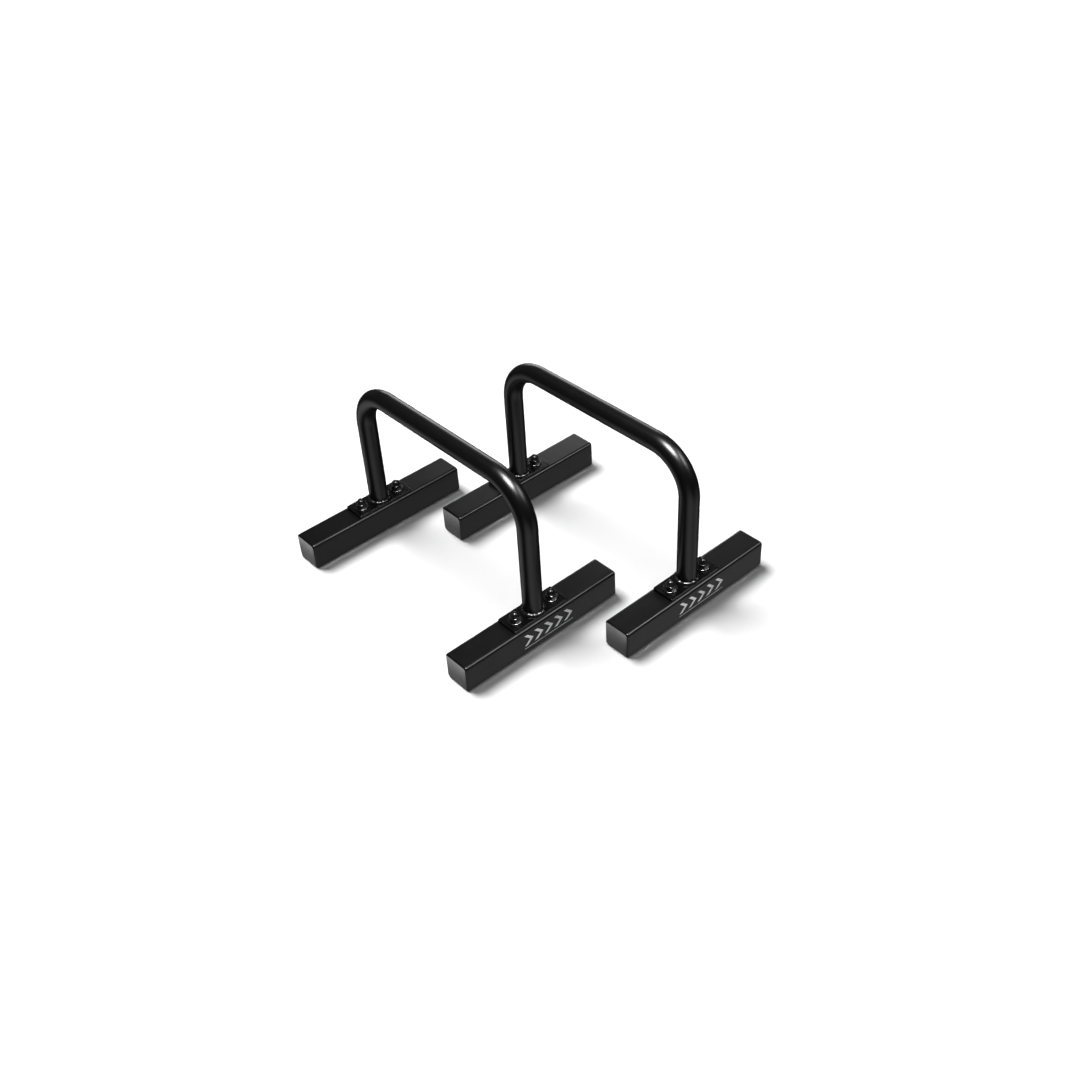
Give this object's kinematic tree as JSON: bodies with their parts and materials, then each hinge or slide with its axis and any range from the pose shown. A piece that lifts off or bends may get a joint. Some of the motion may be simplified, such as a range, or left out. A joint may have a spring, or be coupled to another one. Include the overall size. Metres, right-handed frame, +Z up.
{
  "type": "parallel bars",
  "caption": "Pair of low floor-standing parallel bars: each a round tube bent into a wide U, bolted by base plates to square-tube feet.",
  "frame": {"origin": "on the floor, midway between the two units, at the centre of the pair's outline", "axes": "+X along the feet, from the left unit to the right unit; +Y along the bars, from front to rear; +Z up"},
  "size_m": [0.545, 0.58, 0.3045],
  "materials": {
    "powder_coat": "satin black powder coat, fine orange-peel texture",
    "plate_coat": "satin black powder coat",
    "weld": "glossy black coat over a rippled weld bead",
    "cap_plastic": "moulded black plastic, semi-gloss",
    "mark_ink": "off-white screen print, matt",
    "hardware": "black-plated steel fasteners, glossy"
  },
  "bodies": {
    "left_unit": {"left_bar_tube": "powder_coat", "left_front_base_plate": "plate_coat", "left_rear_base_plate": "plate_coat", "left_front_weld_bead": "weld", "left_rear_weld_bead": "weld", "left_front_foot_tube": "powder_coat", "left_rear_foot_tube": "powder_coat", "left_front_foot_outer_cap": "cap_plastic", "left_front_foot_inner_cap": "cap_plastic", "left_rear_foot_outer_cap": "cap_plastic", "left_rear_foot_inner_cap": "cap_plastic", "left_front_bolts": "hardware", "left_rear_bolts": "hardware", "left_front_washers": "hardware", "left_rear_washers": "hardware", "left_front_dome_nuts": "hardware", "left_rear_dome_nuts": "hardware"},
    "right_unit": {"right_bar_tube": "powder_coat", "right_front_base_plate": "plate_coat", "right_rear_base_plate": "plate_coat", "right_front_weld_bead": "weld", "right_rear_weld_bead": "weld", "right_front_foot_tube": "powder_coat", "right_rear_foot_tube": "powder_coat", "right_front_foot_outer_cap": "cap_plastic", "right_front_foot_inner_cap": "cap_plastic", "right_rear_foot_outer_cap": "cap_plastic", "right_rear_foot_inner_cap": "cap_plastic", "right_front_bolts": "hardware", "right_rear_bolts": "hardware", "right_front_washers": "hardware", "right_rear_washers": "hardware", "right_front_dome_nuts": "hardware", "right_rear_dome_nuts": "hardware"}
  },
  "joints": [
    {"name": "bar_spacing", "type": "slide", "parent": "left_unit", "child": "right_unit", "axis": [1, 0, 0], "range_m": [-0.045, 0.375]}
  ]
}
